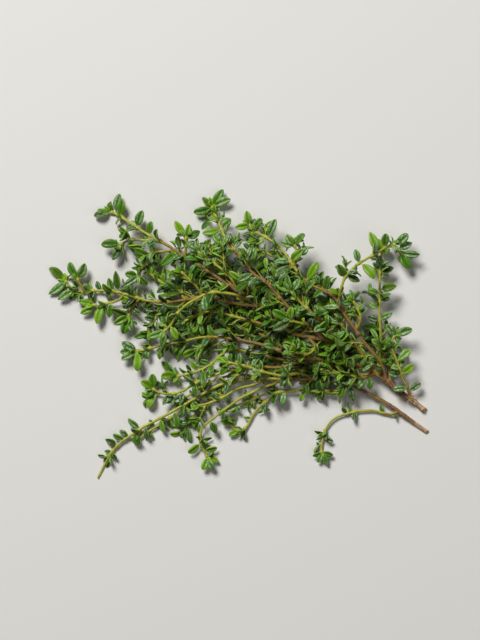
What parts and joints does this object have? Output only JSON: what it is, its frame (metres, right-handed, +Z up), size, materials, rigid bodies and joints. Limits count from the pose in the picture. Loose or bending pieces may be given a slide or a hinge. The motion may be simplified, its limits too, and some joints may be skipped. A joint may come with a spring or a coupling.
{
  "type": "thyme bundle",
  "caption": "Loose bundle of fresh thyme: two cut woody stems forking into a fan of thin leafy shoots that lie over each other.",
  "frame": {"origin": "middle of the bundle's box, on the surface that it lies on", "axes": "+Z up, +X towards the cut ends of the stems, +Y towards the far shoots"},
  "size_m": [0.1898, 0.1445, 0.0288],
  "materials": {
    "wood": "thin brown bark, paler and reddish in places, dull",
    "leaf": "mid-green leaves with a dull greyish bloom, pale rims and veins, paler below",
    "young_stem": "yellow-green soft stem, brown towards its root"
  },
  "bodies": {
    "root": {"thick_woody_stem": "wood", "thin_woody_stem": "wood", "far_top": "leaf", "top_left_side": "leaf", "top_left_inner": "leaf", "top_left_round": "leaf", "top_inner": "leaf", "top_middle": "leaf", "upper_right": "leaf", "upper_right_low": "leaf", "upper_right_tip": "leaf", "inner_star": "leaf", "middle_tuft": "leaf", "middle_side": "leaf", "crown_star": "leaf", "arch": "leaf", "upright_right": "leaf", "right_side": "leaf", "far_left": "leaf", "far_left_side": "leaf", "far_left_low": "leaf", "left_inner": "leaf", "left_middle": "leaf", "left_star": "leaf", "left_drop": "leaf", "yellow_arch": "leaf", "inner_left": "leaf", "inner_left_low": "leaf", "middle_left": "leaf", "lower_left_loop": "leaf", "lower_left": "leaf", "pale_tip": "leaf", "long_low": "leaf", "low_second": "leaf", "low_third": "leaf", "hanging": "leaf", "low_right": "leaf", "small_loop": "leaf", "trailing": "leaf", "inner_low": "leaf", "inner_top": "leaf", "inner_right": "leaf", "inner_wood": "leaf", "inner_crown": "leaf", "low_fourth": "leaf", "low_fifth": "leaf"}
  },
  "joints": []
}
